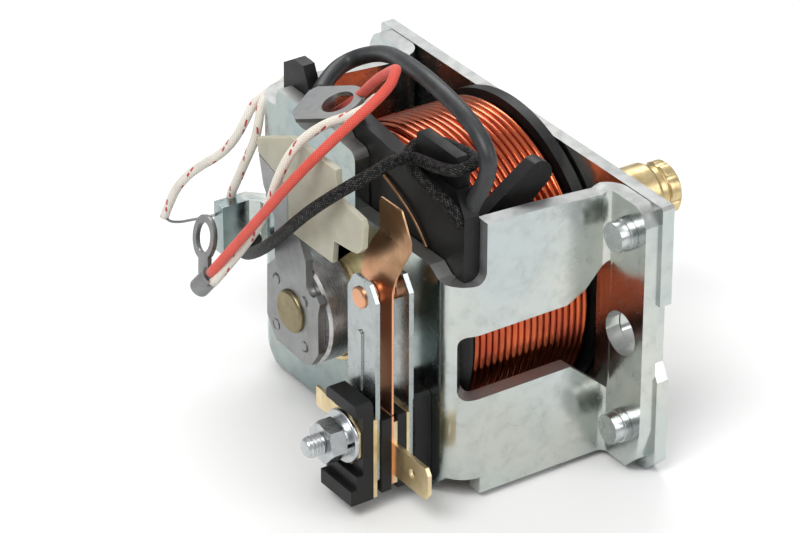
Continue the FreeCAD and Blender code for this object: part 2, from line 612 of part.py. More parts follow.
# ---------------------------------------------------------------- leads
def route(points, label):
    # straight runs joined by tangent arcs
    pts = [Vector(*p) for p in points]
    edges = []
    radii = []
    last = pts[0]
    for i in range(1, len(pts) - 1):
        a, b, c = pts[i - 1], pts[i], pts[i + 1]
        u = (a - b)
        v = (c - b)
        la, lc = u.Length, v.Length
        u.normalize()
        v.normalize()
        turn_angle = math.pi - u.getAngle(v)
        cut = 0.45 * min(la, lc)
        radius = cut / math.tan(turn_angle / 2.0)
        radii.append((round(radius, 1), round(math.degrees(turn_angle))))
        p0 = b + u * cut
        p1 = b + v * cut
        bis = (u + v)
        bis.normalize()
        centre = b + bis * (radius / math.cos(turn_angle / 2.0))
        mid = centre - bis * radius
        edges.append(Part.LineSegment(last, p0).toShape())
        edges.append(Part.Arc(p0, mid, p1).toShape())
        last = p1
    edges.append(Part.LineSegment(last, pts[-1]).toShape())
    wire = Part.Wire(edges)
    if label:
        print("lead", label, "length %.1f" % wire.Length, "smallest radius %.1f" % min(r[0] for r in radii), radii)
    return wire


def lead(label, radius_name, points):
    r = d(radius_name)
    wire = route(points, label)
    start = Vector(*points[0])
    direction = Vector(*points[1]) - start
    ringw = Part.Wire([Part.makeCircle(r, start, direction)])
    shape = wire.makePipeShell([ringw], True, False)
    print("   volume %.1f against %.1f" % (shape.Volume, math.pi * r * r * wire.Length))
    f = doc.addObject("Part::Feature", label)
    f.Shape = shape
    return node(f, label)


lead("main_lead", "main_lead_radius",
     [(-31.7, -27.4, 26.4), (-31.7, -28.8, 29.6), (-31.4, -31.9, 34.6), (-31.0, -32.2, 39.4), (-30.6, -26.4, 43.0),
      (-29.8, -14.5, 44.6), (-27.5, -2.0, 43.0), (-24.0, 10.0, 39.0), (-24.5, 18.5, 34.5),
      (-30.2, 17.8, 33.4), (-35.3, 13.4, 32.6)])
lead("sleeve_lead", "sleeve_radius",
     [(-34.2, -28.3, 25.4), (-35.6, -28.5, 28.9), (-35.75, -24.4, 29.6), (-35.65, -18.4, 30.1), (-35.2, -13.0, 32.5),
      (-30.5, -12.6, 34.0), (-29.9, -19.4, 35.2), (-30.0, -28.2, 36.4), (-34.9, -28.7, 35.8), (-35.3, -23.0, 34.2),
      (-35.6, -17.2, 33.7), (-40.2, -18.2, 35.3), (-46.0, -19.6, 34.9), (-51.4, -18.0, 32.4), (-54.2, -11.5, 26.0), (-54.4, -3.6, 18.0), (-52.6, 5.5, 10.4),
      (-47.5, 19.0, 1.4), (-43.5, 27.6, -2.2), (-38.8, 29.0, -2.4)])
lead("red_lead", "red_radius",
     [(-32.7, 12.8, 28.0), (-33.2, 9.0, 31.0), (-33.6, 3.2, 36.0), (-34.0, -3.1, 42.3), (-34.5, -9.4, 47.0),
      (-36.2, -11.9, 48.0), (-38.0, -12.5, 45.4), (-46.6, -12.0, 40.1), (-54.1, -9.0, 32.4),
      (-57.5, 1.5, 17.8), (-59.7, 11.0, 5.4)])
lead("white_lead_c", "white_radius",
     [(-32.7, 9.6, 27.0), (-33.0, 4.0, 32.6), (-34.0, -1.5, 37.3), (-35.4, -5.0, 39.9), (-37.8, -6.6, 39.6),
      (-42.0, -6.4, 38.7), (-46.5, -5.2, 38.0), (-51.6, -4.4, 35.3), (-54.2, -2.8, 29.3), (-54.6, -0.4, 22.3),
      (-55.8, 4.3, 13.6), (-59.5, 10.6, 3.6)])
lead("white_lead_a", "white_radius",
     [(-32.4, 25.0, 30.6), (-28.6, 28.0, 30.4), (-25.7, 31.6, 28.4), (-25.5, 34.8, 25.2), (-28.6, 36.8, 22.4),
      (-32.6, 36.6, 21.2), (-35.9, 34.6, 21.2), (-38.2, 33.1, 19.9), (-39.6, 33.3, 17.4), (-40.9, 34.5, 14.6),
      (-42.5, 36.4, 11.9), (-44.3, 39.2, 9.4), (-45.8, 42.3, 6.0), (-47.0, 44.7, 2.0), (-48.0, 46.2, -3.2)])
lead("white_lead_b", "white_radius",
     [(-32.4, 22.4, 27.6), (-30.0, 25.9, 28.0), (-28.2, 29.4, 27.9), (-27.6, 33.3, 26.8), (-29.6, 34.8, 23.4),
      (-33.0, 34.4, 22.6), (-35.6, 32.3, 21.8), (-36.9, 31.0, 19.3), (-37.4, 31.3, 16.4), (-37.9, 32.7, 13.0),
      (-38.3, 34.3, 9.6), (-38.5, 36.0, 6.2), (-38.5, 38.0, 2.9), (-38.3, 39.3, -0.6), (-38.1, 39.3, -3.4)])
lead("lead_wire", "wire_radius",
     [(-48.0, 46.1, -3.2), (-47.7, 44.4, -3.5), (-46.8, 42.2, -2.8), (-45.6, 40.8, -2.1), (-43.8, 39.2, -1.4),
      (-42.0, 38.1, -0.9)])
lead("coil_tail", "tail_radius",
     [(-34.2, -4.2, 25.3), (-34.75, -6.2, 25.0), (-34.85, -10.6, 23.4), (-34.85, -14.3, 21.6), (-34.85, -17.1, 19.5),
      (-34.9, -19.4, 17.1)])


# ---------------------------------------------------------------- spring
# open coils between the seats of plunger and core, in short runs and arcs
mean = d("spring_mean")
wr = d("spring_wire")
x0 = d("plunger_seat") + wr
x1 = d("core_seat") - wr
steps = 12 * int(d("spring_turns"))
points = []
for k in range(steps + 1):
    t = k / float(steps)
    a = 2.0 * math.pi * k / 12.0
    # closed end coils, open coils between them
    e = min(max((t - 0.12) / 0.76, 0.0), 1.0)
    points.append((x0 + (x1 - x0) * (0.05 * t + 0.95 * e), mean * math.cos(a), mean * math.sin(a)))
wire = route(points, None)
section = Part.Wire([Part.makeCircle(wr, Vector(*points[0]), Vector(*points[1]) - Vector(*points[0]))])
f = doc.addObject("Part::Feature", "return_spring")
f.Shape = wire.makePipeShell([section], True, False)
print("spring volume %.1f against %.1f" % (f.Shape.Volume, math.pi * wr * wr * wire.Length))
node(f, "return_spring")


def frame_point(origin, axes, a, b, c):
    return origin + axes[0] * a + axes[1] * b + axes[2] * c


def frame_plate(origin, axes, outline, thick):
    pts = [frame_point(origin, axes, a, b, 0) for a, b in outline]
    return Part.Face(Part.makePolygon(pts + [pts[0]])).extrude(axes[2] * -thick)


# ring terminal of the main lead, barrel across the tongue under the plate
O1 = Vector(-37.3, 4.5, 35.4)
A1 = [Vector(0.379, -0.877, 0.293), Vector(0.864, 0.448, 0.225), Vector(-0.329, 0.168, 0.929)]
disc = Part.makeCylinder(4.8, 0.8, O1, A1[2] * -1)
strap = frame_plate(O1, A1, [(0, -4.8), (0, 4.8), (-7.2, 4.8), (-8.4, 3.6), (-8.4, -2.6), (-6.4, -4.8)], 0.8)
base = frame_point(O1, A1, -6.2, -2.6, -2.2)
barrel = Part.makeCylinder(2.1, 7.4, base, A1[1])
bridge = frame_plate(frame_point(O1, A1, 0, 0, -0.7), A1, [(-8.0, -2.6), (-4.4, -2.6), (-4.4, 4.8), (-8.0, 4.8)], 1.5)
shape = disc.fuse([strap, barrel, bridge]).cut(Part.makeCylinder(3.0, 3.0, O1 + A1[2] * 1.0, A1[2] * -1))
f = doc.addObject("Part::Feature", "main_ring_terminal")
f.Shape = shape.removeSplitter()
node(f, "main_ring_terminal")

# small ring terminal that the red and one white lead are crimped into
O2 = Vector(-58.0, 16.1, 9.7)
N2 = Vector(-0.96, 0.127, 0.248)
U2 = Vector(0.278, 0.410, 0.867)
S2 = U2.cross(N2)
A2 = [S2, U2, N2]
disc = Part.makeCylinder(4.0, 0.8, O2, N2 * -1)
neck = frame_plate(O2, A2, [(-1.8, 0.0), (1.8, 0.0), (1.8, -8.6), (-1.8, -8.6)], 0.8)
B2 = Vector(-0.2, 0.60, -0.775)
B2.normalize()
c2 = Vector(-59.3, 13.3, 2.6)
barrel = Part.makeCylinder(1.85, 4.8, c2 - B2 * 2.4, B2)
shape = disc.fuse([neck, barrel]).cut(Part.makeCylinder(2.7, 3.0, O2 + N2 * 1.0, N2 * -1))
f = doc.addObject("Part::Feature", "small_ring_terminal")
f.Shape = shape.removeSplitter()
node(f, "small_ring_terminal")

doc.recompute()

# ---------------------------------------------------------------- checks, export
bad = 0
for obj in doc.Objects:
    if "Invalid" in obj.State or "Error" in obj.State:
        print("STATE", obj.Name, obj.State)
        bad += 1
for obj in nodes:
    shape = obj.Shape
    if shape.isNull() or not shape.isValid() or shape.Volume <= 0:
        print("SHAPE", obj.Label, shape.isNull())
        bad += 1
if bad:
    raise RuntimeError("%d objects are not sound" % bad)
os.makedirs("parts", exist_ok=True)
for obj in nodes:
    bb = obj.Shape.BoundBox
    print("%-22s solids %d volume %9.1f  x %.2f..%.2f y %.2f..%.2f z %.2f..%.2f" % (
        obj.Label, len(obj.Shape.Solids), obj.Shape.Volume,
        bb.XMin, bb.XMax, bb.YMin, bb.YMax, bb.ZMin, bb.ZMax))
    obj.Shape.exportStep("parts/%s.step" % obj.Label)
print(len(nodes), "nodes")
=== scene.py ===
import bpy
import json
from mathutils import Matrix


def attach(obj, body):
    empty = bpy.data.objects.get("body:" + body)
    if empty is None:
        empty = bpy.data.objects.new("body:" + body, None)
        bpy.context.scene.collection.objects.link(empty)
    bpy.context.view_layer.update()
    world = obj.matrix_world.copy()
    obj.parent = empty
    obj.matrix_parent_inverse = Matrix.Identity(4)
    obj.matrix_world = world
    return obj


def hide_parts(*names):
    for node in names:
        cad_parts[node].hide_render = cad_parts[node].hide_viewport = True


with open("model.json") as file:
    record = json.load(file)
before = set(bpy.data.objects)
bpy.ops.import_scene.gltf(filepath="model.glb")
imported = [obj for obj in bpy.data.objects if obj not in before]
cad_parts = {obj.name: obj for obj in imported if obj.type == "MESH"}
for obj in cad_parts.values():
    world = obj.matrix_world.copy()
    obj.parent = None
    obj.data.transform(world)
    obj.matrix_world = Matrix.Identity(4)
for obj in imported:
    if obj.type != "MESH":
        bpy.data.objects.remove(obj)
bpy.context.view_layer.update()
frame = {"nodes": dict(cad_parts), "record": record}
import bpy
import bmesh
import json
import math
from mathutils import Vector, Matrix, noise as mnoise

MM = 0.001
NODES = frame["nodes"]
BODY = {n: b for b, ns in frame["record"]["behaviour"]["bodies"].items() for n in ns}
SLOT = {s["node"]: s["material_slot"] for s in frame["record"]["subparts"]}
scene = bpy.context.scene


# ------------------------------------------------------------------ node help
class Look:
    """A node material, built up from small steps. Lengths are in millimetres."""

    def __init__(self, name):
        self.m = bpy.data.materials.new(name)
        self.m.use_nodes = True
        self.t = self.m.node_tree
        self.t.nodes.clear()
        self.out = self.t.nodes.new("ShaderNodeOutputMaterial")
        self.b = self.t.nodes.new("ShaderNodeBsdfPrincipled")
        self.t.links.new(self.b.outputs[0], self.out.inputs[0])
        self.coord = self.t.nodes.new("ShaderNodeTexCoord")

    def plain(self, **values):
        for k, v in values.items():
            self.b.inputs[k.replace("_", " ")].default_value = v
        return self

    def link(self, a, b):
        self.t.links.new(a, b)

    def where(self, sx=1000.0, sy=None, sz=None, uv=False, rot=(0, 0, 0)):
        n = self.t.nodes.new("ShaderNodeMapping")
        self.link(self.coord.outputs["UV" if uv else "Object"], n.inputs["Vector"])
        sy = sx if sy is None else sy
        sz = sx if sz is None else sz
        n.inputs["Scale"].default_value = (sx, sy, sz)
        n.inputs["Rotation"].default_value = rot
        return n.outputs[0]

    def noise(self, vec, scale, detail=3.0, rough=0.5, distort=0.0):
        n = self.t.nodes.new("ShaderNodeTexNoise")
        self.link(vec, n.inputs["Vector"])
        n.inputs["Scale"].default_value = scale
        n.inputs["Detail"].default_value = detail
        n.inputs["Roughness"].default_value = rough
        n.inputs["Distortion"].default_value = distort
        return n.outputs["Fac"]

    def cells(self, vec, scale, randomness=1.0):
        n = self.t.nodes.new("ShaderNodeTexVoronoi")
        self.link(vec, n.inputs["Vector"])
        n.inputs["Scale"].default_value = scale
        n.inputs["Randomness"].default_value = randomness
        return n.outputs["Distance"]

    def ramp(self, fac, stops):
        n = self.t.nodes.new("ShaderNodeValToRGB")
        self.link(fac, n.inputs[0])
        e = n.color_ramp.elements
        while len(e) < len(stops):
            e.new(0.5)
        for i, (p, c) in enumerate(stops):
            e[i].position = p
            e[i].color = (c, c, c, 1) if isinstance(c, (int, float)) else (*c, 1)
        return n.outputs[0]

    def span(self, fac, lo, hi, a, b):
        n = self.t.nodes.new("ShaderNodeMapRange")
        self.link(fac, n.inputs[0])
        n.inputs[1].default_value, n.inputs[2].default_value = lo, hi
        n.inputs[3].default_value, n.inputs[4].default_value = a, b
        return n.outputs[0]

    def put(self, value, socket):
        if isinstance(value, (int, float)):
            socket.default_value = value
        elif isinstance(value, tuple):
            socket.default_value = (*value, 1)
        else:
            self.link(value, socket)

    def mix(self, fac, a, b, how="MIX"):
        n = self.t.nodes.new("ShaderNodeMix")
        n.data_type = "RGBA"
        n.blend_type = how
        self.put(fac, n.inputs[0])
        self.put(a, n.inputs[6])
        self.put(b, n.inputs[7])
        return n.outputs[2]

    def calc(self, op, a, b=0.0, c=0.0):
        n = self.t.nodes.new("ShaderNodeMath")
        n.operation = op
        for s, v in zip(n.inputs, (a, b, c)):
            self.put(v, s)
        return n.outputs[0]

    def axis(self, vec):
        n = self.t.nodes.new("ShaderNodeSeparateXYZ")
        self.link(vec, n.inputs[0])
        return n.outputs[0], n.outputs[1], n.outputs[2]

    def bump(self, height, strength, mm, under=None):
        n = self.t.nodes.new("ShaderNodeBump")
        n.inputs["Strength"].default_value = strength
        n.inputs["Distance"].default_value = mm * MM
        self.put(height, n.inputs["Height"])
        if under is not None:
            self.link(under, n.inputs["Normal"])
        return n.outputs[0]

    def done(self, colour=None, rough=None, normal=None):
        if colour is not None:
            self.put(colour, self.b.inputs["Base Color"])
        if rough is not None:
            self.put(rough, self.b.inputs["Roughness"])
        if normal is not None:
            self.link(normal, self.b.inputs["Normal"])
        return self.m


def plated(name, light, dark, tint, rough_lo, rough_hi, grain=(1.0, 1.0, 1.0), scratch=0.05, stain=0.35, web_face_shade=None):
    k = Look(name).plain(Metallic=1.0)
    p = k.where()
    broad = k.noise(p, 0.055, 2.0, 0.5)
    mid = k.noise(p, 0.35, 4.0, 0.6, 0.4)
    fine = k.noise(p, 3.2, 3.0, 0.6)
    base = k.mix(k.span(broad, 0.35, 0.65, 0, 1), light, tint)
    base = k.mix(k.span(mid, 0.45, 0.75, 0, 0.55), base, dark)
    spots = k.span(k.cells(p, 0.42), 0.02, 0.10, 1, 0)
    gate = k.span(k.noise(p, 0.2, 1.0), 0.52, 0.6, 0, stain)
    base = k.mix(k.calc("MULTIPLY", spots, gate), base, tuple(0.45 * c for c in dark))
    if web_face_shade is not None:
        # painted shade: the front face of the web is made darker and bluer here, standing in for the shade it sits in
        x, y, z = k.axis(p)
        base = k.mix(k.span(x, -37.4, -36.7, 1, 0), base, k.mix(1.0, base, web_face_shade, "MULTIPLY"))
    stretched = k.where(1000.0 * grain[0], 1000.0 * grain[1], 1000.0 * grain[2])
    lines = k.noise(stretched, 2.0, 4.0, 0.7)
    rough = k.calc("ADD", k.span(mid, 0.3, 0.7, rough_lo, rough_hi), k.span(fine, 0.3, 0.8, 0.0, 0.06))
    n = k.bump(mid, 0.25, 0.06)
    n = k.bump(fine, 0.25, 0.012, n)
    n = k.bump(lines, scratch, 0.02, n)
    return k.done(base, rough, n)


# the last colour darkens and blues the front face of the web as painted shade
zinc = plated("zinc_sheet", (0.58, 0.595, 0.55), (0.39, 0.41, 0.40), (0.49, 0.545, 0.54), 0.14, 0.26, (0.25, 0.25, 1.6), 0.06,
              web_face_shade=(0.69, 0.755, 0.77))
zinc_edge = plated("zinc_sheared_edge", (0.43, 0.435, 0.42), (0.30, 0.305, 0.30), (0.39, 0.40, 0.395), 0.44, 0.60, scratch=0.35)
zinc_strip = plated("zinc_strip", (0.43, 0.46, 0.455), (0.28, 0.31, 0.32), (0.36, 0.42, 0.43), 0.16, 0.30, (1.5, 1.5, 0.12), 0.12)
zinc_small = plated("zinc_fastener", (0.58, 0.59, 0.585), (0.38, 0.38, 0.385), (0.50, 0.54, 0.57), 0.18, 0.34, scratch=0.12)
grey_plate = plated("armature_zinc", (0.32, 0.32, 0.31), (0.23, 0.23, 0.225), (0.29, 0.30, 0.30), 0.34, 0.48, scratch=0.10)
tin = plated("tinned_terminal", (0.28, 0.28, 0.275), (0.19, 0.185, 0.18), (0.25, 0.255, 0.26), 0.30, 0.46, scratch=0.15, stain=0.5)
spring_wire = plated("spring_wire", (0.45, 0.45, 0.46), (0.30, 0.30, 0.30), (0.42, 0.43, 0.45), 0.25, 0.4)


def turned_metal(name, light, dark, rough_lo, rough_hi, rings=0.35, worn=None):
    k = Look(name).plain(Metallic=1.0)
    p = k.where()
    mid = k.noise(p, 0.5, 4.0, 0.6)
    x, y, z = k.axis(p)
    lines = k.noise(k.where(1000.0, 25.0, 25.0), 3.5, 5.0, 0.7)
    fine = k.noise(p, 4.0, 3.0, 0.6)
    base = k.mix(k.span(mid, 0.35, 0.7, 0, 1), light, dark)
    base = k.mix(k.span(lines, 0.5, 0.75, 0, 0.4), base, tuple(0.6 * c for c in dark))
    if worn is not None:
        base = k.mix(k.span(x, -49.0, -46.0, 1, 0), base, k.mix(k.span(mid, 0.35, 0.7, 0, 1), worn, tuple(0.7 * c for c in worn)))
    rough = k.span(lines, 0.3, 0.7, rough_lo, rough_hi)
    n = k.bump(lines, rings, 0.02)
    n = k.bump(fine, 0.15, 0.01, n)
    return k.done(base, rough, n)


steel = turned_metal("turned_steel", (0.60, 0.59, 0.58), (0.38, 0.37, 0.37), 0.20, 0.38)
brass = turned_metal("turned_brass", (0.74, 0.59, 0.33), (0.52, 0.39, 0.19), 0.26, 0.44, 0.2, (0.28, 0.235, 0.135))


def sheet_copper(name, light, dark, rough, low=None):
    k = Look(name).plain(Metallic=1.0)
    p = k.where()
    mid = k.noise(p, 0.22, 4.0, 0.6, 0.6)
    lines = k.noise(k.where(1600.0, 1600.0, 90.0), 2.2, 4.0, 0.7)
    base = k.mix(k.span(mid, 0.35, 0.7, 0, 1), light, dark)
    base = k.mix(k.span(lines, 0.55, 0.8, 0, 0.35), base, tuple(0.6 * c for c in dark))
    if low is not None:
        # painted light: the blade is lighter and redder below the flag, standing in for light falling on it there
        x, y, z = k.axis(p)
        base = k.mix(k.span(z, 9.0, 19.0, 1, 0), base, low)
    r = k.calc("ADD", k.span(mid, 0.3, 0.7, rough, rough + 0.12), k.span(lines, 0.3, 0.7, -0.03, 0.05))
    return k.done(base, r, k.bump(lines, 0.12, 0.012))


# the last colour is painted light on the blade below the flag
copper = sheet_copper("blade_copper", (0.49, 0.295, 0.165), (0.35, 0.195, 0.105), 0.26, (0.86, 0.42, 0.25))
bronze_tail = sheet_copper("tail_wire", (0.34, 0.20, 0.11), (0.24, 0.13, 0.065), 0.38)
tan = sheet_copper("terminal_brass", (0.83, 0.69, 0.44), (0.65, 0.51, 0.28), 0.32)


def enamel_wire(name):
    k = Look(name).plain(Metallic=1.0, Coat_Weight=0.45, Coat_Roughness=0.06)
    p = k.where()
    broad = k.noise(p, 0.10, 3.0, 0.6)
    fine = k.noise(k.where(1000.0, 180.0, 180.0), 1.2, 3.0, 0.6)
    base = k.mix(k.span(broad, 0.35, 0.7, 0, 1), (0.62, 0.130, 0.040), (0.38, 0.056, 0.018))
    base = k.mix(k.span(fine, 0.5, 0.8, 0, 0.45), base, (0.16, 0.022, 0.012))
    rough = k.span(fine, 0.3, 0.7, 0.12, 0.22)
    return k.done(base, rough, k.bump(fine, 0.08, 0.02))


enamel = enamel_wire("coil_enamel")


def moulded(name, colour, lighter, rough_lo, rough_hi):
    k = Look(name).plain(Specular_IOR_Level=0.30)
    p = k.where()
    mid = k.noise(p, 0.30, 4.0, 0.6)
    fine = k.noise(p, 2.6, 4.0, 0.65)
    dust = k.span(k.cells(p, 0.9), 0.03, 0.12, 1, 0)
    base = k.mix(k.span(mid, 0.4, 0.7, 0, 0.8), colour, lighter)
    base = k.mix(k.calc("MULTIPLY", dust, k.span(k.noise(p, 0.4, 1.0), 0.55, 0.65, 0, 0.35)), base, (0.22, 0.21, 0.20))
    n = k.bump(mid, 0.2, 0.08)
    n = k.bump(fine, 0.3, 0.02, n)
    return k.done(base, k.span(mid, 0.3, 0.7, rough_lo, rough_hi), n)


black = moulded("black_moulding", (0.006, 0.006, 0.0065), (0.014, 0.0135, 0.013), 0.36, 0.52)


def pale_nylon(name):
    k = Look(name).plain(Subsurface_Weight=0.55, Subsurface_Radius=(1.0, 0.9, 0.7), Subsurface_Scale=0.002, Specular_IOR_Level=0.45)
    p = k.where()
    mid = k.noise(p, 0.18, 3.0, 0.5)
    fine = k.noise(p, 2.0, 3.0, 0.6)
    base = k.mix(k.span(mid, 0.35, 0.7, 0, 1), (0.44, 0.43, 0.34), (0.36, 0.34, 0.26))
    return k.done(base, k.span(fine, 0.3, 0.7, 0.34, 0.46), k.bump(fine, 0.15, 0.02))


nylon = pale_nylon("natural_nylon")


def lead_rubber(name):
    k = Look(name).plain(Specular_IOR_Level=0.5)
    p = k.where()
    mid = k.noise(p, 0.4, 4.0, 0.6)
    fine = k.noise(p, 3.5, 3.0, 0.6)
    base = k.mix(k.span(mid, 0.4, 0.7, 0, 1), (0.019, 0.020, 0.0215), (0.034, 0.036, 0.038))
    n = k.bump(mid, 0.12, 0.06)
    return k.done(base, k.span(fine, 0.3, 0.7, 0.38, 0.50), k.bump(fine, 0.12, 0.015, n))


rubber = lead_rubber("lead_rubber")


def woven(name, colour, lighter, rough, carriers, lay, depth, tracer=None, weight=1.0, peak=-0.2, gloss=0.4, patchy=0.0):
    """Braided sleeving on a tube whose UV is (length in mm, turn 0 to 1)."""
    k = Look(name).plain(Specular_IOR_Level=gloss, Sheen_Weight=0.15 if gloss > 0.3 else 0.0, Sheen_Roughness=0.4)
    p = k.where(1.0, uv=True)
    u, v, _ = k.axis(p)
    tau = 2.0 * math.pi
    a = k.calc("SINE", k.calc("MULTIPLY", k.calc("ADD", k.calc("DIVIDE", u, lay), v), tau * carriers))
    b = k.calc("SINE", k.calc("MULTIPLY", k.calc("SUBTRACT", k.calc("DIVIDE", u, lay), v), tau * carriers))
    high = k.calc("MAXIMUM", a, b)
    threads = k.noise(k.where(9.0, 60.0, 1.0, uv=True), 2.0, 3.0, 0.6)
    grime = k.noise(k.where(), 0.35, 4.0, 0.6)
    lit = high
    if patchy:
        # the threads catch the light only here and there
        lit = k.calc("SUBTRACT", high, k.span(k.noise(k.where(0.9, 6.0, 1.0, uv=True), 1.6, 3.0, 0.7), 0.38, 0.62, 0.0, patchy))
    # thread crowns get the lighter colour: a painted highlight on the weave, laid over the real weave pattern
    base = k.mix(k.span(lit, peak, 1.0, 0, 1), colour, lighter)
    base = k.mix(k.span(threads, 0.45, 0.75, 0, 0.35), base, colour)
    base = k.mix(k.span(grime, 0.5, 0.75, 0, 0.3), base, tuple(0.6 * c for c in colour))
    if tracer is not None:
        shade, place, lean, period, share = tracer
        # two opposite tracer threads that run round the sleeve and dive under every few stitches
        turned = k.calc("ADD", v, k.calc("MULTIPLY_ADD", u, lean, place))
        across = k.calc("ABSOLUTE", k.calc("SUBTRACT", k.calc("FRACT", k.calc("MULTIPLY", turned, 2.0)), 0.5))
        ragged = k.span(k.noise(k.where(3.0, 20.0, 1.0, uv=True), 3.0, 2.0, 0.6), 0.3, 0.7, -0.035, 0.035)
        near = k.span(k.calc("ADD", across, ragged), 0.060, 0.095, 1, 0)
        along = k.calc("FRACT", k.calc("DIVIDE", u, period))
        on = k.span(along, share - 0.05, share, 1, 0)
        gap = k.span(k.calc("ABSOLUTE", k.calc("SUBTRACT", along, share * 0.5)), 0.035, 0.065, 0.0, 1)
        mark = k.calc("MULTIPLY", k.calc("MULTIPLY", near, on), gap)
        base = k.mix(mark, base, shade)
    n = k.bump(high, 0.6 * weight, depth)
    n = k.bump(threads, 0.3, depth * 0.5, n)
    return k.done(base, k.span(threads, 0.3, 0.7, rough, rough + 0.12), n)


braid = woven("black_braid", (0.0035, 0.0035, 0.004), (0.17, 0.165, 0.155), 0.46, 14.0, 9.0, 0.05, peak=0.78, gloss=0.12, patchy=0.22)
red_sleeve = woven("red_sleeve", (0.50, 0.026, 0.017), (0.86, 0.145, 0.10), 0.50, 14.0, 7.0, 0.05)
white_sleeve = woven("white_sleeve", (0.66, 0.60, 0.52), (0.84, 0.80, 0.72), 0.52, 10.0, 7.0, 0.05,
                     tracer=((0.45, 0.03, 0.03), 0.20, 0.055, 5.2, 0.52))
white_sleeve_b = woven("white_sleeve_far", (0.66, 0.61, 0.54), (0.84, 0.80, 0.73), 0.52, 10.0, 7.0, 0.05,
                       tracer=((0.45, 0.03, 0.03), 0.35, 0.055, 4.9, 0.52))


def shadowed(name, colour, rough):
    k = Look(name)
    p = k.where()
    mid = k.noise(p, 0.8, 3.0, 0.6)
    base = k.mix(mid, colour, tuple(2.0 * c for c in colour))
    return k.done(base, rough, k.bump(mid, 0.3, 0.02))


dent_shadow_look = shadowed("staking_dent_shadow", (0.05, 0.05, 0.05), 0.6)

LOOK = {
    "zinc_steel": zinc, "fastener_steel": zinc_small, "pole_steel": steel, "spring_steel": spring_wire,
    "rod_brass": brass, "copper": copper, "coil_copper": enamel, "terminal_brass": tan,
    "black_moulding": black, "nylon": nylon, "lead_black": rubber, "sleeve_braid": braid,
    "lead_red": red_sleeve, "lead_white": white_sleeve, "tinned": tin,
}
for name, o in NODES.items():
    look = LOOK[SLOT[name]]
    if name in ("armature_plate", "staking_pins"):
        look = grey_plate
    if name in ("left_fixed_contact", "right_fixed_contact"):
        look = zinc_strip
    if name == "coil_tail":
        look = bronze_tail
    for s in o.material_slots:
        s.material = look


# ------------------------------------------------------------------ pieces
def new_piece(name, mesh, stands_for, look, body=None):
    o = bpy.data.objects.new(name, mesh)
    scene.collection.objects.link(o)
    mesh.materials.clear()
    mesh.materials.append(look)
    first = stands_for[0] if stands_for else None
    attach(o, body or BODY[first])
    if stands_for:
        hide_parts(*stands_for)
    return o


def softened(node, width, segments=2, angle=28.0, look=None):
    """The same solid with its hard edges broken by a small round."""
    src = NODES[node]
    bm = bmesh.new()
    bm.from_mesh(src.data)
    bmesh.ops.remove_doubles(bm, verts=bm.verts[:], dist=3e-6)
    bmesh.ops.dissolve_degenerate(bm, dist=1e-7, edges=bm.edges[:])
    bmesh.ops.dissolve_limit(bm, angle_limit=math.radians(0.6), verts=bm.verts[:], edges=bm.edges[:])
    limit = math.radians(angle)
    sharp = [e for e in bm.edges if len(e.link_faces) == 2 and e.calc_face_angle(0.0) > limit]
    bmesh.ops.bevel(bm, geom=sharp, offset=width * MM, offset_type="OFFSET", segments=segments, profile=0.5,
                    affect="EDGES", clamp_overlap=True)
    bmesh.ops.remove_doubles(bm, verts=bm.verts[:], dist=5e-7)
    bmesh.ops.recalc_face_normals(bm, faces=bm.faces[:])
    for f in bm.faces:
        f.smooth = True
    for e in bm.edges:
        e.smooth = e.calc_face_angle(0.0) < math.radians(40.0)
    me = bpy.data.meshes.new(node + "_rounded")
    bm.to_mesh(me)
    bm.free()
    o = new_piece(node + "_rounded", me, [node], look or src.material_slots[0].material)
    w = o.modifiers.new("even", "WEIGHTED_NORMAL")
    w.keep_sharp = True
    w.weight = 80
    return o


def sheared_edges(o, look, pick):
    """The cut faces of a punched sheet are rougher than its rolled faces."""
    o.data.materials.append(look)
    for f in o.data.polygons:
        if pick(f.center / MM, f.normal):
            f.material_index = 1


for node, width in (
    ("yoke_frame", 0.30), ("mounting_plate", 0.30), ("armature_plate", 0.15), ("side_bracket", 0.35),
    ("left_fixed_contact", 0.15), ("right_fixed_contact", 0.15), ("contact_blade", 0.06), ("blade_terminal", 0.12),
    ("tongue_terminal", 0.1), ("outer_terminal_strip", 0.08), ("inner_terminal_strip", 0.08),
    ("clamp_block", 0.25), ("spacer_a", 0.2), ("spacer_b", 0.2), ("base_insulator", 0.2),
    ("nylon_actuator", 0.18), ("hex_nut", 0.12), ("flat_washer", 0.12), ("flange_rivets", 0.25),
    ("main_ring_terminal", 0.12), ("small_ring_terminal", 0.12), ("bobbin", 0.35), ("push_rod", 0.15),
):
    softened(node, width)
sheared_edges(bpy.data.objects["yoke_frame_rounded"], zinc_edge, lambda c, n: c.z > -25.0 and (
    n.z > 0.25 or n.z < -0.25 or (abs(n.x) > 0.6 and 29.2 < abs(c.y) < 31.5 and -33.0 < c.x < -8.0)))
sheared_edges(bpy.data.objects["mounting_plate_rounded"], zinc_edge, lambda c, n: n.z > 0.5)


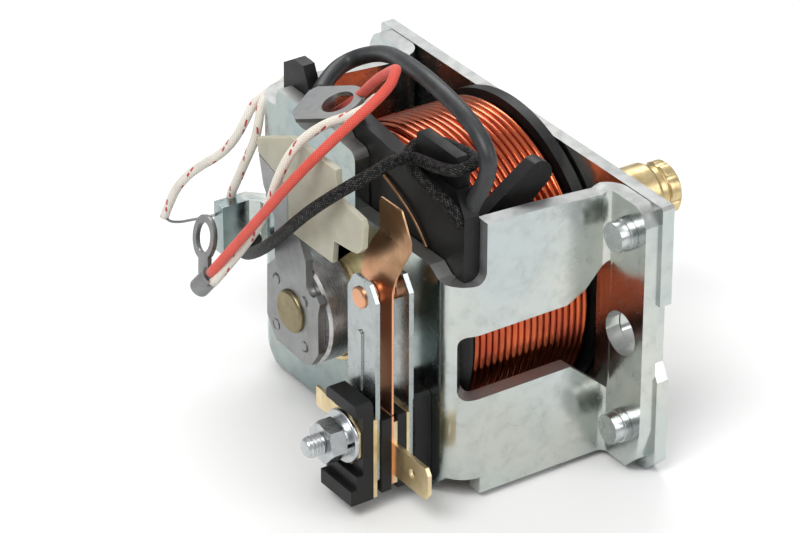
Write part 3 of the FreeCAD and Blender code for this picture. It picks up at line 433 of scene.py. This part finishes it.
def rings_to_mesh(name, rings, uv_rows=None, closed_ends=True):
    """A tube through rings of points, with flat end caps and UV (mm, turn)."""
    n = len(rings[0])
    bm = bmesh.new()
    layer = bm.loops.layers.uv.new("along")
    rows = [[bm.verts.new(p) for p in ring] for ring in rings]
    for i in range(len(rows) - 1):
        for j in range(n):
            k = (j + 1) % n
            f = bm.faces.new((rows[i][j], rows[i][k], rows[i + 1][k], rows[i + 1][j]))
            f.smooth = True
            if uv_rows:
                vals = ((uv_rows[i], j / n), (uv_rows[i], (j + 1) / n), (uv_rows[i + 1], (j + 1) / n), (uv_rows[i + 1], j / n))
                for l, v in zip(f.loops, vals):
                    l[layer].uv = v
    if closed_ends:
        for row, flip in ((rows[0], True), (rows[-1], False)):
            f = bm.faces.new(row[::-1] if flip else row)
            f.smooth = False
            for l in f.loops:
                l[layer].uv = (0.0 if flip else (uv_rows[-1] if uv_rows else 0.0), 0.5)
    bmesh.ops.recalc_face_normals(bm, faces=bm.faces[:])
    me = bpy.data.meshes.new(name)
    bm.to_mesh(me)
    bm.free()
    return me


def spline_line(points, steps=14):
    """Points read from a smooth spline with these control points."""
    cu = bpy.data.curves.new("line", "CURVE")
    cu.dimensions = "3D"
    sp = cu.splines.new("NURBS")
    sp.points.add(len(points) - 1)
    for q, p in zip(sp.points, points):
        q.co = (p[0] * MM, p[1] * MM, p[2] * MM, 1.0)
    sp.order_u = 3
    sp.use_endpoint_u = True
    sp.resolution_u = steps
    cu.resolution_u = steps
    o = bpy.data.objects.new("line", cu)
    scene.collection.objects.link(o)
    me = bpy.data.meshes.new_from_object(o.evaluated_get(bpy.context.evaluated_depsgraph_get()))
    line = [v.co.copy() for v in me.vertices]
    bpy.data.objects.remove(o)
    bpy.data.meshes.remove(me)
    return line


def tube(name, line, radius, sides=20, wobble=0.0, profile=None):
    """A round section carried along the line without twist."""
    tangents = []
    for i in range(len(line)):
        a = line[max(i - 1, 0)]
        b = line[min(i + 1, len(line) - 1)]
        tangents.append((b - a).normalized())
    side = tangents[0].orthogonal().normalized()
    rings, uv, run = [], [], 0.0
    for i, (p, t) in enumerate(zip(line, tangents)):
        if i:
            run += (line[i] - line[i - 1]).length
            side = (side - t * side.dot(t)).normalized()
        up = t.cross(side)
        r = radius * MM
        if wobble:
            r *= 1.0 + wobble * mnoise.noise(Vector((run * 260.0, 3.1, 7.7)))
        ring = []
        for j in range(sides):
            a = 2.0 * math.pi * j / sides
            q = r * (profile(run / MM, a) if profile else 1.0)
            ring.append(p + side * (q * math.cos(a)) + up * (q * math.sin(a)))
        rings.append(ring)
        uv.append(run / MM)
    return rings_to_mesh(name, rings, uv)


ROUTES = {
    "main_lead": (1.5, rubber, 0.0792, [
        (-31.7, -27.4, 26.4), (-31.7, -28.8, 29.6), (-31.4, -31.9, 34.6), (-31.0, -32.2, 39.4), (-30.6, -26.4, 43.0),
        (-29.8, -14.5, 44.6), (-27.5, -2.0, 43.0), (-24.0, 10.0, 39.0), (-24.5, 18.5, 34.5),
        (-30.2, 17.8, 33.4), (-35.3, 13.4, 32.6)]),
    "sleeve_lead": (1.1, braid, 0.1331, [
        (-34.2, -28.3, 25.4), (-35.6, -28.5, 28.9), (-35.75, -24.4, 29.6), (-35.65, -18.4, 30.1), (-35.2, -13.0, 32.5),
        (-30.5, -12.6, 34.0), (-29.9, -19.4, 35.2), (-30.0, -28.2, 36.4), (-34.9, -28.7, 35.8), (-35.3, -23.0, 34.2),
        (-35.6, -17.2, 33.7), (-40.2, -18.2, 35.3), (-46.0, -19.6, 34.9), (-51.4, -18.0, 32.4), (-54.2, -11.5, 26.0), (-54.4, -3.6, 18.0), (-52.6, 5.5, 10.4),
        (-47.5, 19.0, 1.4), (-43.5, 27.6, -2.2), (-38.8, 29.0, -2.4)]),
    "red_lead": (0.9, red_sleeve, 0.0901, [
        (-32.7, 12.8, 28.0), (-33.2, 9.0, 31.0), (-33.6, 3.2, 36.0), (-34.0, -3.1, 42.3), (-34.5, -9.4, 47.0),
        (-36.2, -11.9, 48.0), (-38.0, -12.5, 45.4), (-46.6, -12.0, 40.1), (-54.1, -9.0, 32.4),
        (-57.5, 1.5, 17.8), (-59.7, 11.0, 5.4)]),
    "white_lead_c": (0.85, white_sleeve, 0.0734, [
        (-32.7, 9.6, 27.0), (-33.0, 4.0, 32.6), (-34.0, -1.5, 37.3), (-35.4, -5.0, 39.9), (-37.8, -6.6, 39.6),
        (-42.0, -6.4, 38.7), (-46.5, -5.2, 38.0), (-51.6, -4.4, 35.3), (-54.2, -2.8, 29.3), (-54.6, -0.4, 22.3),
        (-55.8, 4.3, 13.6), (-59.5, 10.6, 3.6)]),
    "white_lead_a": (0.85, white_sleeve_b, 0.0584, [
        (-32.4, 25.0, 30.6), (-28.6, 28.0, 30.4), (-25.7, 31.6, 28.4), (-25.5, 34.8, 25.2), (-28.6, 36.8, 22.4),
        (-32.6, 36.6, 21.2), (-35.9, 34.6, 21.2), (-38.2, 33.1, 19.9), (-39.6, 33.3, 17.4), (-40.9, 34.5, 14.6),
        (-42.5, 36.4, 11.9), (-44.3, 39.2, 9.4), (-45.8, 42.3, 6.0), (-47.0, 44.7, 2.0), (-48.0, 46.2, -3.2)]),
    "white_lead_b": (0.85, white_sleeve, 0.0503, [
        (-32.4, 22.4, 27.6), (-30.0, 25.9, 28.0), (-28.2, 29.4, 27.9), (-27.6, 33.3, 26.8), (-29.6, 34.8, 23.4),
        (-33.0, 34.4, 22.6), (-35.6, 32.3, 21.8), (-36.9, 31.0, 19.3), (-37.4, 31.3, 16.4), (-37.9, 32.7, 13.0),
        (-38.3, 34.3, 9.6), (-38.5, 36.0, 6.2), (-38.5, 38.0, 2.9), (-38.3, 39.3, -0.6), (-38.1, 39.3, -3.4)]),
}
for node, (radius, look, length, points) in ROUTES.items():
    line = spline_line(points)
    me = tube(node + "_run", line, radius, 24, 0.02)
    o = new_piece(node + "_run", me, [node], look)


# the wound wire of the coil, one turn beside the next
def wound_wire():
    start, end, turns, outer = -31.05, -5.3, 19, 27.65
    pitch = (end - start) / turns
    wire = 0.5 * pitch - 0.01
    steps, sides = 72, 10
    rings, uv = [], []
    total = (turns - 1) * steps
    for i in range(total + 1):
        t = i / steps
        a = 2.0 * math.pi * t
        sway = 0.06 * mnoise.noise(Vector((t * 0.9, math.cos(a) * 1.5, math.sin(a) * 1.5)))
        x = start + wire + 0.02 + t * pitch + sway
        x = min(max(x, start + wire), end - wire)
        r = outer - wire - 0.02 - 0.05 * (0.5 + 0.5 * mnoise.noise(Vector((7.0 + t * 0.8, math.cos(a), math.sin(a)))))
        c, s = math.cos(a), math.sin(a)
        low = min(max((4.4 - t) / 0.5, 0.0), 1.0) * min(max((s - 0.55) / 0.3, 0.0), 1.0)
        r -= 0.85 * low * low * (3.0 - 2.0 * low)
        ring = []
        for j in range(sides):
            b = 2.0 * math.pi * j / sides
            q = r + wire * math.cos(b)
            ring.append(((x + wire * math.sin(b)) * MM, q * c * MM, q * s * MM))
        rings.append(ring)
        uv.append(t * 2.0 * math.pi * r)
    me = rings_to_mesh("outer_winding_wire", rings, uv)
    return new_piece("outer_winding_wire", me, ["outer_winding"], enamel)


wound_wire()


def lathe(name, profile, sides, y=0.0, z=0.0, warp=None):
    """A closed profile of (x, radius) turned about an axis along X."""
    rings = []
    for j in range(sides):
        a = 2.0 * math.pi * j / sides
        rings.append([(x * MM, (y + r * math.cos(a)) * MM, (z + r * math.sin(a)) * MM) for x, r in profile])
    bm = bmesh.new()
    rows = [[bm.verts.new(p) for p in ring] for ring in rings]
    n = len(profile)
    for i in range(sides):
        for j in range(n):
            a, b = rows[i], rows[(i + 1) % sides]
            f = bm.faces.new((a[j], a[(j + 1) % n], b[(j + 1) % n], b[j]))
            f.smooth = True
    bmesh.ops.recalc_face_normals(bm, faces=bm.faces[:])
    me = bpy.data.meshes.new(name)
    bm.to_mesh(me)
    bm.free()
    return me


# the layer below the wound wire closes the view between its turns
me = lathe("winding_layer_below", [(-31.0, 19.5), (-31.0, 25.7), (-25.2, 25.7), (-24.8, 26.6), (-5.35, 26.6), (-5.35, 19.5)], 96)
new_piece("winding_layer_below", me, [], enamel, body=BODY["outer_winding"])


# painted shade: thin dark crescents stand in for the shadow inside the staking punch dents on the armature plate
def staking_dent_shadows():
    bm = bmesh.new()
    turns = ((4.9, 4.2, 0.9), (-4.0, 3.7, 2.6), (5.1, -5.2, 5.6), (-4.0, -5.4, 4.1))
    for y, z, lean in turns:
        for x, grow in ((-50.175, 0.0),):
            ring = []
            for j in range(25):
                a = lean - 1.45 + 2.9 * j / 24.0
                fat = 0.30 * math.sin(math.pi * j / 24.0) + 0.03
                ring.append((a, fat))
            outer = [bm.verts.new((x * MM, (y + 0.92 * math.cos(a)) * MM, (z + 0.92 * math.sin(a)) * MM)) for a, f in ring]
            inner = [bm.verts.new((x * MM, (y + (0.92 - f) * math.cos(a)) * MM, (z + (0.92 - f) * math.sin(a)) * MM)) for a, f in ring]
            back_o = [bm.verts.new(((x + 0.05) * MM, v.co.y, v.co.z)) for v in outer]
            back_i = [bm.verts.new(((x + 0.05) * MM, v.co.y, v.co.z)) for v in inner]
            for j in range(24):
                bm.faces.new((outer[j], outer[j + 1], inner[j + 1], inner[j]))
                bm.faces.new((back_o[j + 1], back_o[j], back_i[j], back_i[j + 1]))
                bm.faces.new((outer[j + 1], outer[j], back_o[j], back_o[j + 1]))
                bm.faces.new((inner[j], inner[j + 1], back_i[j + 1], back_i[j]))
            bm.faces.new((outer[0], inner[0], back_i[0], back_o[0]))
            bm.faces.new((inner[24], outer[24], back_o[24], back_i[24]))
    bmesh.ops.recalc_face_normals(bm, faces=bm.faces[:])
    me = bpy.data.meshes.new("staking_dent_shadows")
    bm.to_mesh(me)
    bm.free()
    return new_piece("staking_dent_shadows", me, [], dent_shadow_look, body=BODY["staking_pins"])


staking_dent_shadows()


# threaded stud
def threaded_stud():
    pitch, major, minor = 0.7, 1.99, 1.62
    y0, z0 = -20.3, -14.1
    x0, x1, sides = -60.6, -34.5, 28
    rings = []
    step = pitch / 8.0
    n = int((x1 - x0) / step)
    for i in range(n + 1):
        x = x0 + (x1 - x0) * i / n
        ring = []
        for j in range(sides):
            a = 2.0 * math.pi * j / sides
            phase = (x / pitch - j / sides) % 1.0
            tooth = abs(2.0 * phase - 1.0)
            tooth = min(max((tooth - 0.12) / 0.76, 0.0), 1.0)
            r = minor + (major - minor) * tooth
            if x > -57.4:
                r = min(r, 1.74) if x < -50.0 else 1.74
            end = min(1.0, (x - x0) / 0.7)
            r = min(r, 1.45 + 0.55 * end)
            ring.append((x * MM, (y0 + r * math.cos(a)) * MM, (z0 + r * math.sin(a)) * MM))
        rings.append(ring)
    me = rings_to_mesh("stud_thread", rings)
    return new_piece("stud_thread", me, ["stud"], zinc_small)


threaded_stud()


# ------------------------------------------------------------------ stage
floor_me = bpy.data.meshes.new("floor")
s = 1.6
floor_me.from_pydata([(-s, -s, -0.02846), (s, -s, -0.02846), (s, s, -0.02846), (-s, s, -0.02846)], [], [(0, 1, 2, 3)])
floor = bpy.data.objects.new("floor", floor_me)
scene.collection.objects.link(floor)
k = Look("floor_paper")
grain = k.noise(k.where(), 0.02, 3.0, 0.5)
floor_me.materials.append(k.done(k.mix(grain, (0.86, 0.86, 0.86), (0.89, 0.89, 0.89)), 0.75, k.bump(grain, 0.05, 0.1)))

world = bpy.data.worlds.new("studio")
scene.world = world
world.use_nodes = True
wt = world.node_tree
wt.nodes.clear()
wo = wt.nodes.new("ShaderNodeOutputWorld")
bg = wt.nodes.new("ShaderNodeBackground")
tc = wt.nodes.new("ShaderNodeTexCoord")
sep = wt.nodes.new("ShaderNodeSeparateXYZ")
rmp = wt.nodes.new("ShaderNodeValToRGB")
wt.links.new(tc.outputs["Generated"], sep.inputs[0])
wt.links.new(sep.outputs[2], rmp.inputs[0])
e = rmp.color_ramp.elements
e[0].position, e[0].color = 0.0, (0.26, 0.27, 0.28, 1)
e[1].position, e[1].color = 1.0, (1.0, 1.0, 1.0, 1)
mid = e.new(0.35)
mid.color = (0.56, 0.57, 0.58, 1)
wt.links.new(rmp.outputs[0], bg.inputs[0])
bg.inputs[1].default_value = 0.80
wt.links.new(bg.outputs[0], wo.inputs[0])


def area(name, place, target, size, power, colour=(1, 1, 1)):
    l = bpy.data.lights.new(name, "AREA")
    l.shape = "RECTANGLE"
    l.size, l.size_y = size
    l.energy = power
    l.color = colour
    o = bpy.data.objects.new(name, l)
    scene.collection.objects.link(o)
    o.location = place
    o.rotation_euler = (Vector(target) - Vector(place)).to_track_quat("-Z", "Y").to_euler()
    return o


area("key_softbox", (-0.55, -0.25, 0.75), (-0.02, 0.0, 0.0), (0.55, 0.40), 5.0, (1.0, 0.99, 0.97))
area("fill_softbox", (0.45, -0.70, 0.45), (-0.02, 0.0, 0.0), (0.5, 0.5), 1.8, (0.97, 0.99, 1.0))
area("back_softbox", (0.25, 0.55, 0.60), (-0.02, 0.0, 0.0), (0.6, 0.3), 3.0)

# ------------------------------------------------------------------ camera
az, el, roll = -0.5941268, 0.5180148, 0.0019710
forward = Vector((-math.sin(az) * math.cos(el), math.cos(az) * math.cos(el), -math.sin(el)))
right = Vector((math.cos(az), math.sin(az), 0.0))
up = right.cross(forward)
r2 = right * math.cos(roll) + up * math.sin(roll)
u2 = -right * math.sin(roll) + up * math.cos(roll)
cam = bpy.data.cameras.new("camera")
cam.sensor_width = 36.0
cam.lens = 4346.5669 / 800.0 * 36.0
cam.clip_start, cam.clip_end = 0.05, 10.0
co = bpy.data.objects.new("camera", cam)
scene.collection.objects.link(co)
m = Matrix((
    (r2.x, u2.x, -forward.x, -0.4006458),
    (r2.y, u2.y, -forward.y, -0.5527002),
    (r2.z, u2.z, -forward.z, 0.3818116),
    (0, 0, 0, 1)))
co.matrix_world = m
scene.camera = co
scene.view_settings.view_transform = "Standard"
scene.view_settings.look = "None"
